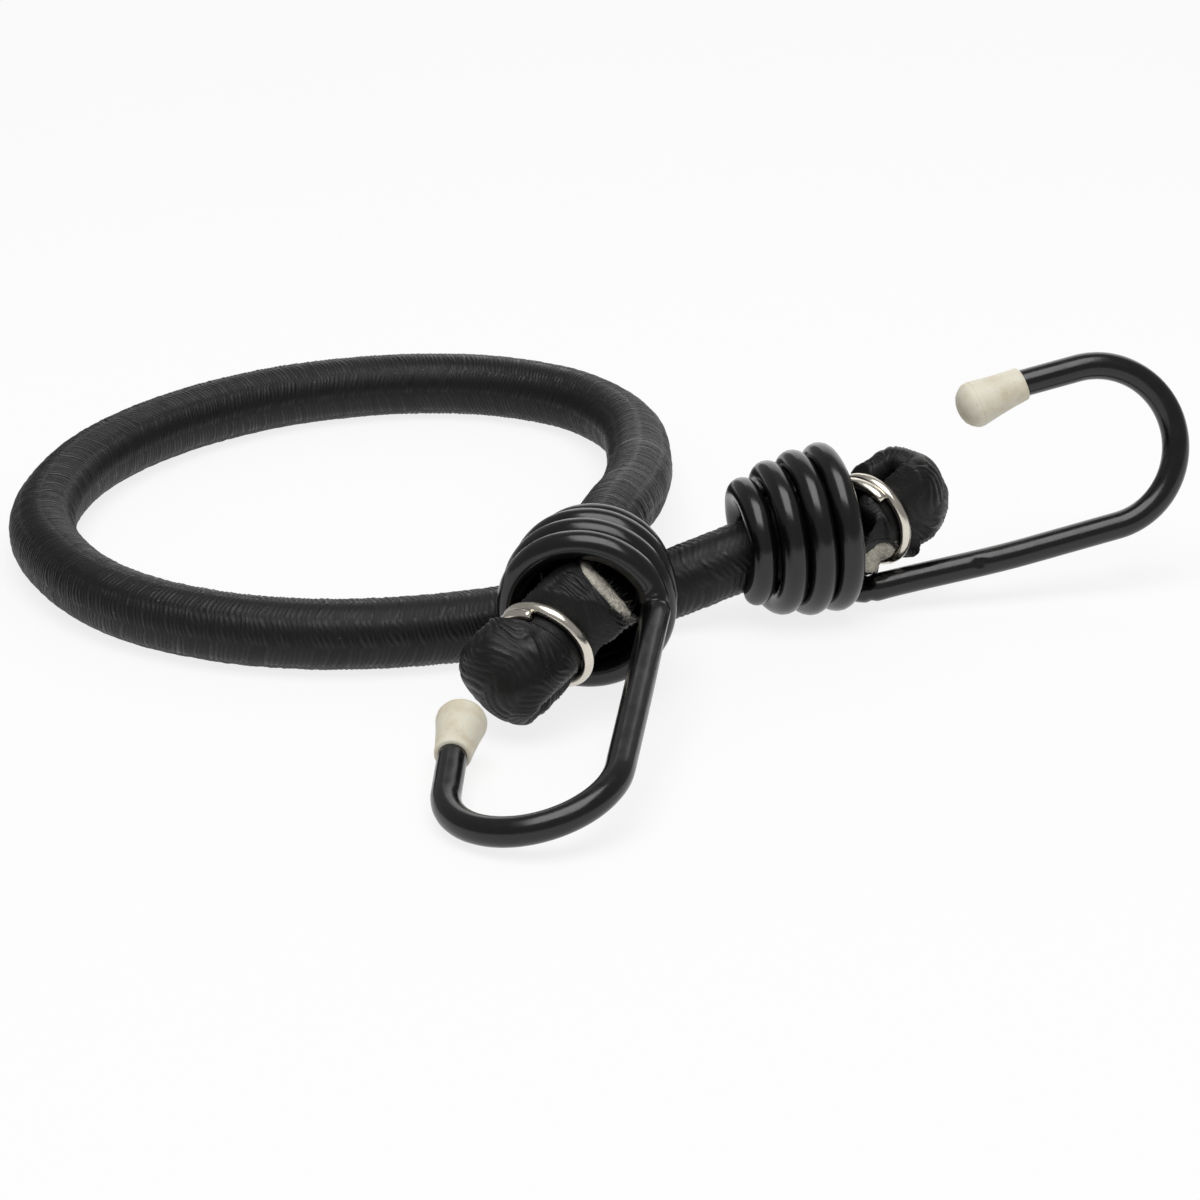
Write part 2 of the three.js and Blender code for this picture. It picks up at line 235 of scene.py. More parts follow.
def braid_material(name):
    """Black braided yarn, with streaks of fibre along the picks lightened as painted glints, painted shade
    in the grooves between picks, and specks of lint.
    """
    material, shader = new_material(name)
    link = material.node_tree.links.new
    flow = add_node(material, "ShaderNodeUVMap", {}, uv_map="flow")
    along_picks = add_node(material, "ShaderNodeMapping",
                           {"Vector": flow.outputs["UV"], "Scale": (1 / FIBRE_WIDTH, 0.9, 1.0)})
    fibre_and_glints = add_node(material, "ShaderNodeTexNoise",
                     {"Vector": along_picks.outputs["Vector"], "Scale": 1.0, "Detail": 3.0,
                      "Roughness": 0.6})
    patches = add_node(material, "ShaderNodeTexNoise",
                       {"Vector": flow.outputs["UV"], "Scale": 0.22, "Detail": 4.0, "Roughness": 0.65})
    lint = add_node(material, "ShaderNodeTexVoronoi",
                    {"Vector": flow.outputs["UV"], "Scale": 1 / LINT_SPACING, "Randomness": 1.0})
    speck = add_node(material, "ShaderNodeMapRange",
                     {"Value": lint.outputs["Distance"], "From Min": 0.02, "From Max": 0.045,
                      "To Min": 0.5, "To Max": 0.0})
    tone_and_groove_shade = add_node(material, "ShaderNodeAttribute", {}, attribute_name="pick_tone_and_groove_shade")
    # Painted glints: the lighter fibre streaks stand in for light caught by the fibres.
    tone = add_node(material, "ShaderNodeMix",
                    {"Factor": fibre_and_glints.outputs["Fac"], "A": linear(0x040404), "B": linear(0x1E1B1C)},
                    data_type="RGBA")
    worn = add_node(material, "ShaderNodeMix",
                    {"Factor": patches.outputs["Fac"], "A": tone.outputs["Result"], "B": linear(0x131212)},
                    data_type="RGBA")
    # Painted shade: near black in the grooves between picks, each pick's own tone elsewhere.
    picked = add_node(material, "ShaderNodeMix",
                      {"Factor": tone_and_groove_shade.outputs["Fac"], "A": linear(0x050505), "B": worn.outputs["Result"]},
                      data_type="RGBA")
    dusty = add_node(material, "ShaderNodeMix",
                     {"Factor": speck.outputs["Result"], "A": picked.outputs["Result"],
                      "B": linear(0x8A8782)}, data_type="RGBA")
    spread = add_node(material, "ShaderNodeMath",
                      {0: fibre_and_glints.outputs["Fac"], 1: tone_and_groove_shade.outputs["Fac"]}, operation="MULTIPLY")
    gloss = add_node(material, "ShaderNodeMapRange",
                     {"Value": spread.outputs["Value"], "From Min": 0.05, "From Max": 0.5,
                      "To Min": 0.5, "To Max": 0.27})
    grain = add_node(material, "ShaderNodeBump",
                     {"Height": fibre_and_glints.outputs["Fac"], "Strength": 0.8, "Distance": 0.1 * MM})
    link(dusty.outputs["Result"], shader.inputs["Base Color"])
    link(gloss.outputs["Result"], shader.inputs["Roughness"])
    link(grain.outputs["Normal"], shader.inputs["Normal"])
    shader.inputs["Specular IOR Level"].default_value = 0.35
    return material


FRONT = end_frame((-2.15, -39.3, 13.2), -97.1, -5.5, 192.4)
REAR = end_frame((36.55, -1.35, 12.9), 17.8, 7.6, 69.4)
COIL_ENTRY = -COIL_LENGTH - 2.0
CORD_END = -4.65
LOW = CORD_RADIUS + 0.06
FREE_ROUTE = np.array([
    [0.7, -13.4, 15.6], [2.4, -4, 15], [4.6, 10.5, 12.5], [5.8, 24, 10.6], [6.1, 37, 8.2],
    [4.9, 57.5, 6.0], [0, 71.3, LOW], [-6.4, 78.5, LOW], [-17.9, 84.2, LOW], [-28, 85.4, LOW],
    [-37.5, 84.3, LOW], [-49.6, 80.1, LOW], [-58.4, 74.6, LOW], [-67.5, 66.2, LOW], [-75.4, 55.2, LOW],
    [-81, 42.5, LOW], [-84, 24, LOW], [-82.4, 10.5, LOW], [-77.3, -1.7, LOW], [-72, -9.8, LOW],
    [-66.7, -15.2, LOW], [-60.5, -19.6, LOW], [-51.1, -23.8, LOW], [-41.6, -25.7, LOW], [-33.8, -25.8, LOW],
    [-25.4, -24.6, LOW], [-14.5, -21.2, LOW], [-7, -16.6, LOW], [0, -12.4, LOW], [5, -10.5, 5.2],
    [10, -9.3, 6.1],
]) + FOOTPRINT_SHIFT
on_axis = [[CORD_END, 0, 0], [(COIL_ENTRY + CORD_END) / 2, 0, 0], [COIL_ENTRY, 0, 0]]
sagging = np.array([[0, 0, -1.7], [0, 0, -0.8], [0, 0, 0]])
rear_on_axis = placed(REAR, on_axis[::-1]) + sagging
cord_line = smooth_line(np.vstack([placed(FRONT, on_axis), FREE_ROUTE, rear_on_axis]))
cord_along = distances(cord_line)
cord_length = cord_along[-1]
loosening = np.clip((cord_along - cord_length + LOOSE_FROM) / LOOSE_OVER, 0, 1)
pitch_there = PICK_PITCH + (LOOSE_PICK_PITCH - PICK_PITCH) * loosening
cord_phase = np.concatenate([[0], np.cumsum(np.diff(cord_along) / pitch_there[1:])])
ring_phase = np.arange(0, cord_phase[-1], 1 / RINGS_PER_PICK)
ring_along = np.interp(ring_phase, cord_phase, cord_along)
ring_middle = at_distances(cord_line, ring_along)
ring_side, ring_up = untwisted_sides(ring_middle, (0, 0, 1))
relief, tone_and_groove_shade = braid_relief(ring_phase, PICK_SLANT, PICK_WANDER, seed=4)
ring_radius = CORD_RADIUS - PICK_SINK * PICK_HEIGHT + PICK_HEIGHT * relief
ring_outward = (np.cos(turn)[None, :, None] * ring_side[:, None]
                + np.sin(turn)[None, :, None] * ring_up[:, None])
cord_rings = ring_middle[:, None] + ring_radius[:, :, None] * ring_outward
sheath_yarn = braid_material("braided black polypropylene")
front_cut = int(np.searchsorted(ring_along, STRAND_LENGTH))
rear_cut = int(np.searchsorted(ring_along, cord_length - STRAND_LENGTH))


def stretch_of_cord(name, first, last):
    """Braided cord from one ring to another."""
    kept = slice(first, last + 1)
    flow = (ring_along[kept], PICK_PITCH * PICK_SLANT * zigzag, 2 * np.pi * CORD_RADIUS, tone_and_groove_shade[kept])
    return make_piece(name, [cord_rings[kept]], sheath_yarn, flow)


loop = stretch_of_cord("cord_loop_braid", front_cut, rear_cut)
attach(loop, "cord_loop")
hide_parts("loop_sheath", "loop_core")

# The cord's last stretch into each coil, of the same rubber and braid and in one length with the loop.
# The real cord grows longer when the hook is pulled away from the loop; this mesh is only built in place.
front_strand = stretch_of_cord("front_strand_braid", 0, front_cut)
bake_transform(front_strand)
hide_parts("front_strand_sheath", "front_strand_core")
rear_strand = stretch_of_cord("rear_strand_braid", rear_cut, len(ring_along) - 1)
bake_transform(rear_strand)
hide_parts("rear_strand_sheath", "rear_strand_core")

# Doubled end of the cord in each coil's mouth: the cord leans out, folds back on itself into a knob too
# thick to pull through the coil, and its squeezed tail ends beside the standing leg with a slanting cut.
LEG_OFFSET = 3.1
KNOB_PITCH = 0.66
KNOB_SLANT = 2.0
KNOB_PICK_HEIGHT = 0.34
KNOB_WANDER = 0.55
KNOB_LUMPS = 0.1
LUMP_SIZE = 3.5
SMOOTHING = 13
CLIP_RADIUS = 6.5
CLIP_THICKNESS = 0.72
CLIP_WIDTH = 0.92
CUT_DEPTH = 6.0
MOUTH_ROOM = 8.2
MOUTH_FRONT = 2.1
MOUTH_FLARE = 4.0
SWEEP_EDGE = 20.0
ROOM_BESIDE_SWEEP = 10.0


def leaning_axes(lean, roll, twist=0):
    """Direction leaning from the coil axis, and its side and broad directions, in an end's own frame."""
    lean, roll, twist = np.radians([lean, roll, twist])
    way = np.array([math.cos(lean), math.sin(lean) * math.cos(roll), math.sin(lean) * math.sin(roll)])
    side = np.array([-math.sin(lean), math.cos(lean) * math.cos(roll), math.cos(lean) * math.sin(roll)])
    side = math.cos(twist) * side + math.sin(twist) * np.cross(way, side)
    return way, side, np.cross(way, side)


def squeezed(local, middle, lean, roll, aside):
    """Points pressed inside a ring clip and its end aside, the cord swelling out again on both sides."""
    way = leaning_axes(lean, roll)[0]
    along = (local - middle) @ way
    radial = local - middle - along[..., None] * way
    beyond = np.clip(np.abs(along - aside * CLIP_WIDTH) - CLIP_WIDTH - 0.4, 0, None)
    room = CLIP_RADIUS - CLIP_THICKNESS + 1.2 * beyond
    too_far = np.clip(1 - room / np.linalg.norm(radial, axis=-1), 0, None)
    return local - radial * too_far[..., None]


def clear_of_shank(local, room, first, last):
    """Points kept inside the coil's mouth, and inside a radius over the angles that the shank sweeps."""
    radius = np.hypot(local[..., 1], local[..., 2])
    angle = np.degrees(np.arctan2(local[..., 2], local[..., 1])) % 360
    swept = np.clip(np.minimum(angle - first, last - angle) / SWEEP_EDGE, 0, 1)
    rim = MOUTH_ROOM + MOUTH_FLARE * np.clip(local[..., 0] - MOUTH_FRONT, 0, None)
    share = np.minimum(np.minimum(radius, room + ROOM_BESIDE_SWEEP * (1 - swept)), rim) / radius
    return local * np.stack([np.ones_like(share), share, share], axis=-1)


def doubled_end(name, end, swing, ring, clip_at, lean, roll, twist, reach, tail_mid, tail_end,
                bulge, breadth, cut, skew, seed):
    """Braided knob of one end, and the rim of its cut tail."""
    way, side, broad = leaning_axes(lean, roll, twist)
    clip_at, tail_mid, tail_end = np.array([clip_at, tail_mid, tail_end])
    standing = [clip_at + LEG_OFFSET * side + d * way for d in (-2.5, 0.0, reach / 2)]
    bend = [clip_at + reach * way + LEG_OFFSET * (math.cos(a) * side + math.sin(a) * way)
            for a in np.linspace(0, np.pi, 9)]
    returning = [clip_at - LEG_OFFSET * side + d * way for d in (reach / 2, 0.0)]
    inside = [[-14, 0, 0], [-9, 0, 0], [-5, *(0.06 * standing[0][1:])]]
    line = smooth_line([*inside, *standing, *bend, *returning, tail_mid, tail_end], 24)
    total = distances(line)[-1]
    phase = np.arange(0, total / KNOB_PITCH, 1 / RINGS_PER_PICK)
    along = phase * KNOB_PITCH
    line = at_distances(line, along)
    flow = directions(line)
    outward = np.cross(broad, flow)
    outward = outward / np.linalg.norm(outward, axis=1)[:, None]
    across = np.cross(flow, outward)
    tail = distances(np.array([returning[-1], tail_mid, tail_end]))[-1]
    leg = reach + LEG_OFFSET * np.pi / 2
    clip_place = total - tail - 2 * leg
    stations = np.array([0, 2.2, 5.5, 0.55 * clip_place, clip_place, clip_place + 0.45 * leg,
                         clip_place + leg, clip_place + 1.55 * leg, total - tail, total])
    kernel = np.ones(SMOOTHING) / SMOOTHING
    margin = SMOOTHING // 2
    outer, inner, half = [
        np.convolve(np.pad(np.interp(along, stations, sizes), margin, mode="edge"), kernel, mode="valid")
        for sizes in ([5.4, 6.6, 6.5, 4.6, 3.5, bulge, bulge, bulge, 3.5, 3.4],
                      [5.4, 6.6, 6.5, 4.6, 2.95, 3.0, 3.05, 3.0, 2.95, 2.95],
                      [5.4, 6.6, 6.5, 5.0, 6.2, breadth, breadth, breadth, 6.2, 6.1])]
    flat = np.interp(along, stations[2:4], [1.0, 0.6])[:, None]
    relief, tone_and_groove_shade = braid_relief(phase, KNOB_SLANT, KNOB_WANDER, seed)
    lift = KNOB_PICK_HEIGHT * (relief - PICK_SINK) + KNOB_LUMPS * waviness(along, LUMP_SIZE, seed + 1)
    c, s = np.cos(turn), np.sin(turn)
    depth = np.where(c > 0, (outer[:, None] + lift) * c, -inner[:, None] * np.abs(c) ** flat)
    near_cut = np.clip(1 - (total - along) / CUT_DEPTH, 0, 1)[:, None]
    width = (half[:, None] + lift) * s
    slip = -(math.tan(math.radians(cut)) * depth + math.tan(math.radians(skew)) * width) * near_cut
    local = (line[:, None] + depth[:, :, None] * outward[:, None] + slip[:, :, None] * flow[:, None]
             + width[:, :, None] * across[:, None])
    rings = placed(end, clear_of_shank(squeezed(local, *ring), *swing))
    knob = make_piece(name, [rings], sheath_yarn,
                      (along, KNOB_PITCH * KNOB_SLANT * zigzag, 2 * np.pi * CORD_RADIUS, tone_and_groove_shade))
    return knob, rings[-1]


FRONT_SWING = 8.1, 70, 280
REAR_SWING = 8.8, 30, 290
FRONT_RING = np.array([4.53, 4.94, 1.23]), 28.8, 23.4, 1
REAR_RING = np.array([3.09, -0.43, -0.36]), 27.1, -59.8, -1
front_knob, front_rim = doubled_end(
    "front_doubled_end", FRONT, FRONT_SWING, FRONT_RING,
    clip_at=(4.9, 4.7, 0.6), lean=41, roll=14, twist=35, reach=6.4,
    tail_mid=(4.2, 0.3, -2.7), tail_end=(1.3, -3.9, -4.1), bulge=3.6, breadth=6.6, cut=26, skew=0, seed=11)
rear_knob, rear_rim = doubled_end(
    "rear_doubled_end", REAR, REAR_SWING, REAR_RING,
    clip_at=(3.3, -0.2, -0.3), lean=22, roll=14, twist=-72, reach=5.0,
    tail_mid=(4.1, -3.8, 4.2), tail_end=(2.3, -8.0, 4.2), bulge=3.7, breadth=6.3, cut=42, skew=20, seed=23)
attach(front_knob, "front_end")
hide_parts("front_bight_sheath")
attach(rear_knob, "rear_end")
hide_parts("rear_bight_sheath")

# Cut face of the cord at each tail: the sawn ends of the bundled rubber threads, cream and crumbly,
# standing a little out of the sheath, which frays round them.
THREAD_SIZE = 0.55
CRUMB_SIZE = 0.35
CRUMB_HEIGHT = 0.09
CUT_PROFILE = [
    (1.0, -1.2), (1.0, 0.15), (0.95, 0.42), (0.75, 0.55), (0.5, 0.6), (0.2, 0.6), (0.03, 0.62),
]


def rubber_material(name):
    """Cut natural rubber threads: pale, matt and pitted, with painted shade in the gaps between the threads.
    """
    material, shader = new_material(name)
    link = material.node_tree.links.new
    place = add_node(material, "ShaderNodeTexCoord", {})
    threads = add_node(material, "ShaderNodeTexVoronoi",
                       {"Vector": place.outputs["Object"], "Scale": 1 / (THREAD_SIZE * MM)})
    thread_gap_shade = add_node(material, "ShaderNodeMapRange",
                     {"Value": threads.outputs["Distance"], "From Min": 0.35, "From Max": 0.8})
    crumbs = add_node(material, "ShaderNodeTexNoise",
                      {"Vector": place.outputs["Object"], "Scale": 1 / (CRUMB_SIZE * MM), "Detail": 4.0})
    # Painted shade: darker towards the edges of each thread, in the gaps between them.
    tone = add_node(material, "ShaderNodeMix",
                    {"Factor": thread_gap_shade.outputs["Result"], "A": linear(0xDAD4C2), "B": linear(0x9A948A)},
                    data_type="RGBA")
    soiled = add_node(material, "ShaderNodeMix",
                      {"Factor": crumbs.outputs["Fac"], "A": tone.outputs["Result"], "B": linear(0xB8B4AA)},
                      data_type="RGBA")
    pits = add_node(material, "ShaderNodeBump",
                    {"Height": crumbs.outputs["Fac"], "Strength": 1.0, "Distance": CRUMB_SIZE * MM})
    dull = add_node(material, "ShaderNodeMapRange",
                    {"Value": crumbs.outputs["Fac"], "To Min": 0.7, "To Max": 0.95})
    link(soiled.outputs["Result"], shader.inputs["Base Color"])
    link(dull.outputs["Result"], shader.inputs["Roughness"])
    link(pits.outputs["Normal"], shader.inputs["Normal"])
    return material


cut_rubber = rubber_material("cut rubber threads")


def cut_face(name, rim, fill, body, node, seed):
    """Crumbly end of the rubber core inside the rim of a cut sheath."""
    middle = rim.mean(axis=0)
    normal = np.cross(rim[len(rim) // 4] - middle, rim[0] - middle)
    normal = -normal / np.linalg.norm(normal)
    luck = np.random.default_rng(seed)
    rings = []
    for scale, rise in CUT_PROFILE:
        rough = luck.normal(0, CRUMB_HEIGHT if rise > 0 else 0.0, len(rim))[:, None]
        rings.append(middle + (rim - middle) * fill * scale + normal * (rise + rough))
    face = make_piece(name, [rings], cut_rubber)
    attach(face, body)
    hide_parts(node)


cut_face("front_cut_face", front_rim, 0.84, "front_end", "front_bight_core", 5)
cut_face("rear_cut_face", rear_rim, 0.8, "rear_end", "rear_bight_core", 6)

# Frayed yarn round each cut: loose ends of the sheath's polypropylene fibres, bent every way.
# They are held by the braid, and none stands where the shank swings past.
FIBRE_COUNT = 480
FRAY_ROOM = 8.2
FIBRE_RADIUS = 0.05
SHORTEST_FIBRE = 0.3
LONGEST_FIBRE = 1.1


def frayed_rim(name, end, rim, body, seed):
    """Loose fibres that start in the rim of a cut sheath."""
    luck = np.random.default_rng(seed)
    middle = rim.mean(axis=0)
    axis = np.cross(rim[0] - middle, rim[len(rim) // 4] - middle)
    axis = axis / np.linalg.norm(axis)
    share = np.linspace(0, 1, 5)[:, None]
    fibres = []
    for _ in range(FIBRE_COUNT):
        root = rim[luck.integers(len(rim))] * 0.96 + middle * 0.04 + luck.normal(0, 0.1, 3) - 0.4 * axis
        outward = (root - middle) / np.linalg.norm(root - middle)
        length = luck.uniform(SHORTEST_FIBRE, LONGEST_FIBRE)
        lean = axis + outward * luck.uniform(-0.2, 0.7) + luck.normal(0, 0.35, 3)
        sag = luck.normal(0, 0.35, 3)
        line = root + length * (share * lean + share**2 * sag)
        side, up = untwisted_sides(line, luck.normal(0, 1, 3))
        if np.linalg.norm(np.cross(line[-1] - end[0], end[1][:, 0])) > FRAY_ROOM:
            continue
        radius = FIBRE_RADIUS * (1 - 0.7 * share)
        fibres.append(np.stack([line + radius * (math.cos(a) * side + math.sin(a) * up)
                                for a in np.radians([0, 120, 240])], axis=1))
    fray = make_piece(name, fibres, loose_yarn)
    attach(fray, body)


def loose_yarn_material(name):
    """Single polypropylene filaments, grey-black and dusty."""
    material, shader = new_material(name)
    place = add_node(material, "ShaderNodeTexCoord", {})
    dust = add_node(material, "ShaderNodeTexNoise",
                    {"Vector": place.outputs["Object"], "Scale": 1 / (1.2 * MM), "Detail": 2.0})
    bleached = add_node(material, "ShaderNodeMapRange",
                        {"Value": dust.outputs["Fac"], "From Min": 0.42, "From Max": 0.62})
    tone = add_node(material, "ShaderNodeMix",
                    {"Factor": bleached.outputs["Result"], "A": linear(0x161516), "B": linear(0x9A968E)},
                    data_type="RGBA")
    material.node_tree.links.new(tone.outputs["Result"], shader.inputs["Base Color"])
    shader.inputs["Roughness"].default_value = 0.6
    return material


loose_yarn = loose_yarn_material("loose polypropylene filaments")
frayed_rim("front_fray", FRONT, front_rim, "front_end", 31)
frayed_rim("rear_fray", REAR, rear_rim, "rear_end", 32)

# Ring clip round each doubled end: a turn and a quarter of bright zinc-plated wire, squeezed shut
# by pliers, its ends passing side by side.
CLIP_SIDES = 16
CLIP_RINGS = 180
CLIP_SWEEP = 450
TIP_BESIDE = 1.75


def plated_material(name):
    """Bright zinc on steel wire: a warm mirror, with faint drawing lines and dull spots."""
    material, shader = new_material(name)
    link = material.node_tree.links.new
    place = add_node(material, "ShaderNodeTexCoord", {})
    spots = add_node(material, "ShaderNodeTexNoise",
                     {"Vector": place.outputs["Object"], "Scale": 1 / (2.2 * MM), "Detail": 5.0})
    tone = add_node(material, "ShaderNodeMix",
                    {"Factor": spots.outputs["Fac"], "A": linear(0xC9C2B4), "B": linear(0xEDE8DD)},
                    data_type="RGBA")
    dull = add_node(material, "ShaderNodeMapRange",
                    {"Value": spots.outputs["Fac"], "From Min": 0.35, "From Max": 0.7,
                     "To Min": 0.14, "To Max": 0.32})
    dents = add_node(material, "ShaderNodeBump",
                     {"Height": spots.outputs["Fac"], "Strength": 0.2, "Distance": 0.15 * MM})
    link(tone.outputs["Result"], shader.inputs["Base Color"])
    link(dull.outputs["Result"], shader.inputs["Roughness"])
    link(dents.outputs["Normal"], shader.inputs["Normal"])
    shader.inputs["Metallic"].default_value = 1.0
    return material


bright_zinc = plated_material("bright zinc plated wire")


def ring_clip(name, end, middle, lean, roll, aside, tip_at, body, node):
    """Ring of wire round both legs of a doubled end, its tip beside the other end at tip_at degrees."""
    way, side, broad = leaning_axes(lean, roll)
    swept = np.linspace(0, CLIP_SWEEP, CLIP_RINGS)[:, None]
    share = swept / CLIP_SWEEP - 0.5
    angle = np.radians(tip_at + aside * swept)
    back = np.clip((swept - 70) / 90, 0, 1)
    beside = TIP_BESIDE * CLIP_WIDTH * aside * (1 - back**2 * (3 - 2 * back))
    line = middle + CLIP_RADIUS * (np.cos(angle) * side + np.sin(angle) * broad) + beside * way
    flow = directions(line)
    across = way - flow * (flow @ way)[:, None]
    across = across / np.linalg.norm(across, axis=1)[:, None]
    outward = np.cross(across, flow)
    size = np.interp(np.abs(share), [0.48, 0.497, 0.5], [1.0, 0.9, 0.7])[:, :, None]
    round_wire = 2 * np.pi * np.arange(CLIP_SIDES) / CLIP_SIDES
    local = (line[:, None] + size * (CLIP_WIDTH * np.cos(round_wire)[:, None] * across[:, None]
                                     + CLIP_THICKNESS * np.sin(round_wire)[:, None] * outward[:, None]))
    clip = make_piece(name, [placed(end, local)], bright_zinc)
    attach(clip, body)
    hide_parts(node)


ring_clip("front_ring_clip", FRONT, *FRONT_RING, 240, "front_end", "front_clip")
ring_clip("rear_ring_clip", REAR, *REAR_RING, 125, "rear_end", "rear_clip")

# Hooks: 3 mm steel wire dipped in black vinyl, wound into a four-turn cone that opens towards the hook,
# then run out along a shank and bent back into an arm. The two are not bent quite alike.
WIRE_RADIUS = 2.0
SMALL_RADIUS = 6.7
LARGE_RADIUS = 10.3
COIL_PITCH = 4.06
COIL_TURNS = 4
CORNER = 3.5
WIRE_IN_CAP = 7.2
WIRE_SIDES = 20
WIRE_STEP = 0.4
NICK_AT = 16.6
NICK_SIZE = 0.7
NICK_DEPTH = 0.45
toe, swing = math.radians(2), math.radians(5)
shank_way = np.array([math.cos(toe) * math.cos(swing), math.sin(toe), math.cos(toe) * math.sin(swing)])
mouth_way = np.array([-math.sin(toe) * math.cos(swing), math.cos(toe), -math.sin(toe) * math.sin(swing)])
shank_root = np.array([0, -LARGE_RADIUS, 0])


def coil_points(turns):
    """Points of the coil's wire, by turns counted from its mouth."""
    radius = LARGE_RADIUS + (SMALL_RADIUS - LARGE_RADIUS) * (turns / COIL_TURNS) ** 3.2
    angle = np.pi * (1 + 2 * turns)
    return np.column_stack([-COIL_PITCH * turns, radius * np.cos(angle), radius * np.sin(angle)])


def hook_line(coil_back, shank, dip, bend_radius, opened, arm, tilt):
    """Middle line of a hook's wire from its tip to the coil's small end, and its cap's rim and direction."""
    corner_turn = CORNER / (2 * np.pi * LARGE_RADIUS)
    coil = coil_points(np.linspace(corner_turn, COIL_TURNS, 400)) - [coil_back, 0, 0]
    root = shank_root - [coil_back, 0, 0]
    share = np.linspace(1, CORNER / shank, 40)[:, None]
    sunk = np.clip(share / 0.65, 0, 1)
    rod = root + share * (shank + coil_back) * shank_way - dip * sunk**2 * (3 - 2 * sunk) * mouth_way
    opened, tilt = np.radians([opened, tilt])
    swept = np.linspace(np.pi / 2 - opened, -np.pi / 2, 60)[:, None]
    bend = rod[0] + bend_radius * (np.cos(swept) * shank_way + (1 + np.sin(swept)) * mouth_way)
    cap_rim = bend[0] + arm * (math.sin(opened) * mouth_way - math.cos(opened) * shank_way)
    cap_way = -math.cos(tilt) * shank_way - math.sin(tilt) * mouth_way
    share = np.linspace(0, 1, 12)[:, None]
    corner = (1 - share)**2 * rod[-1] + 2 * share * (1 - share) * root + share**2 * coil[0]
    tip = cap_rim + WIRE_IN_CAP * cap_way
    return np.vstack([tip, cap_rim, bend, rod[1:-1], corner, coil[1:]]), cap_rim, cap_way


# Plasticised PVC, dipped: a smooth black satin-gloss skin that flows slightly uneven,
# with rubbed dull patches and faint scuffs.
def vinyl_material(name):
    """Black dipped vinyl with a soft gloss, slightly wavy and scuffed."""
    material, shader = new_material(name)
    link = material.node_tree.links.new
    place = add_node(material, "ShaderNodeTexCoord", {})
    waves = add_node(material, "ShaderNodeTexNoise",
                     {"Vector": place.outputs["Object"], "Scale": 1 / (9 * MM), "Detail": 2.0})
    scuffs = add_node(material, "ShaderNodeTexNoise",
                      {"Vector": place.outputs["Object"], "Scale": 1 / (1.6 * MM), "Detail": 6.0,
                       "Roughness": 0.7})
    tone = add_node(material, "ShaderNodeMix",
                    {"Factor": scuffs.outputs["Fac"], "A": linear(0x050506), "B": linear(0x0D0D0E)},
                    data_type="RGBA")
    dull = add_node(material, "ShaderNodeMapRange",
                    {"Value": scuffs.outputs["Fac"], "From Min": 0.4, "From Max": 0.75,
                     "To Min": 0.18, "To Max": 0.3})
    soft = add_node(material, "ShaderNodeBump",
                    {"Height": waves.outputs["Fac"], "Strength": 0.25, "Distance": 0.5 * MM})
    fine = add_node(material, "ShaderNodeBump",
                    {"Height": scuffs.outputs["Fac"], "Strength": 0.12, "Distance": 0.06 * MM,
                     "Normal": soft.outputs["Normal"]})
    link(tone.outputs["Result"], shader.inputs["Base Color"])
    link(dull.outputs["Result"], shader.inputs["Roughness"])
    link(fine.outputs["Normal"], shader.inputs["Normal"])
    shader.inputs["IOR"].default_value = 1.53
    return material


black_vinyl = vinyl_material("black dipped vinyl")


def wire_rings(line, radius, sides):
    """Rings of points round a wire's middle line."""
    side, up = untwisted_sides(line, (0, 0, 1))
    angle = 2 * np.pi * np.arange(sides) / sides
    return line[:, None] + radius[:, None, None] * (np.cos(angle)[:, None] * side[:, None]
                                                    + np.sin(angle)[:, None] * up[:, None])


def wire_hook(name, end, body, node, coil_back, shank, dip, bend_radius, opened, arm, tilt, nick=None):
    """Coated wire of one hook, creased where the shank turns into the coil, with a nick in its skin."""
    line, cap_rim, cap_way = hook_line(coil_back, shank, dip, bend_radius, opened, arm, tilt)
    total = distances(line)[-1]
    along = np.linspace(0, total, int(total / WIRE_STEP))
    line = at_distances(line, along)
    to_shank = WIRE_IN_CAP + arm + math.radians(180 - opened) * bend_radius
    from_corner = along - (to_shank + shank + coil_back - CORNER / 3)
    crease = 0.12 * np.exp(-(from_corner / 1.5) ** 2) - 0.3 * np.exp(-(from_corner / 0.5) ** 2)
    left = np.clip((total - along) / WIRE_RADIUS, 0.04, 1)
    local = wire_rings(line, (WIRE_RADIUS + crease) * np.sqrt(left * (2 - left)), WIRE_SIDES)
    if nick is not None:
        near = np.exp(-(np.linalg.norm(local - nick, axis=2, keepdims=True) / NICK_SIZE) ** 2)
        local = local + NICK_DEPTH * near * (line[:, None] - local) / WIRE_RADIUS
    wire = make_piece(name, [placed(end, local)], black_vinyl)
    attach(wire, body)
    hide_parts(node)
    return line[2:-4], cap_rim, cap_way


front_wire, *front_tip = wire_hook(
    "front_wire_hook", FRONT, "front_hook", "front_hook_sleeve",
    coil_back=0.0, shank=39.1, dip=0.12, bend_radius=11.55, opened=4.5, arm=8.6, tilt=-1)
rear_wire, *rear_tip = wire_hook(
    "rear_wire_hook", REAR, "rear_hook", "rear_hook_sleeve",
    coil_back=0.8, shank=38.6, dip=0.9, bend_radius=11.9, opened=0, arm=8.5, tilt=8,
    nick=shank_root + NICK_AT * shank_way - 0.75 * mouth_way + WIRE_RADIUS * np.array([0, 0.0, 1.0]))

# Steel core of each hook: drawn spring steel wire, 3 mm thick, that gives the hook its strength.
# The vinyl covers it all over, so that none of it is seen.
STEEL_RADIUS = 1.5
STEEL_SIDES = 12


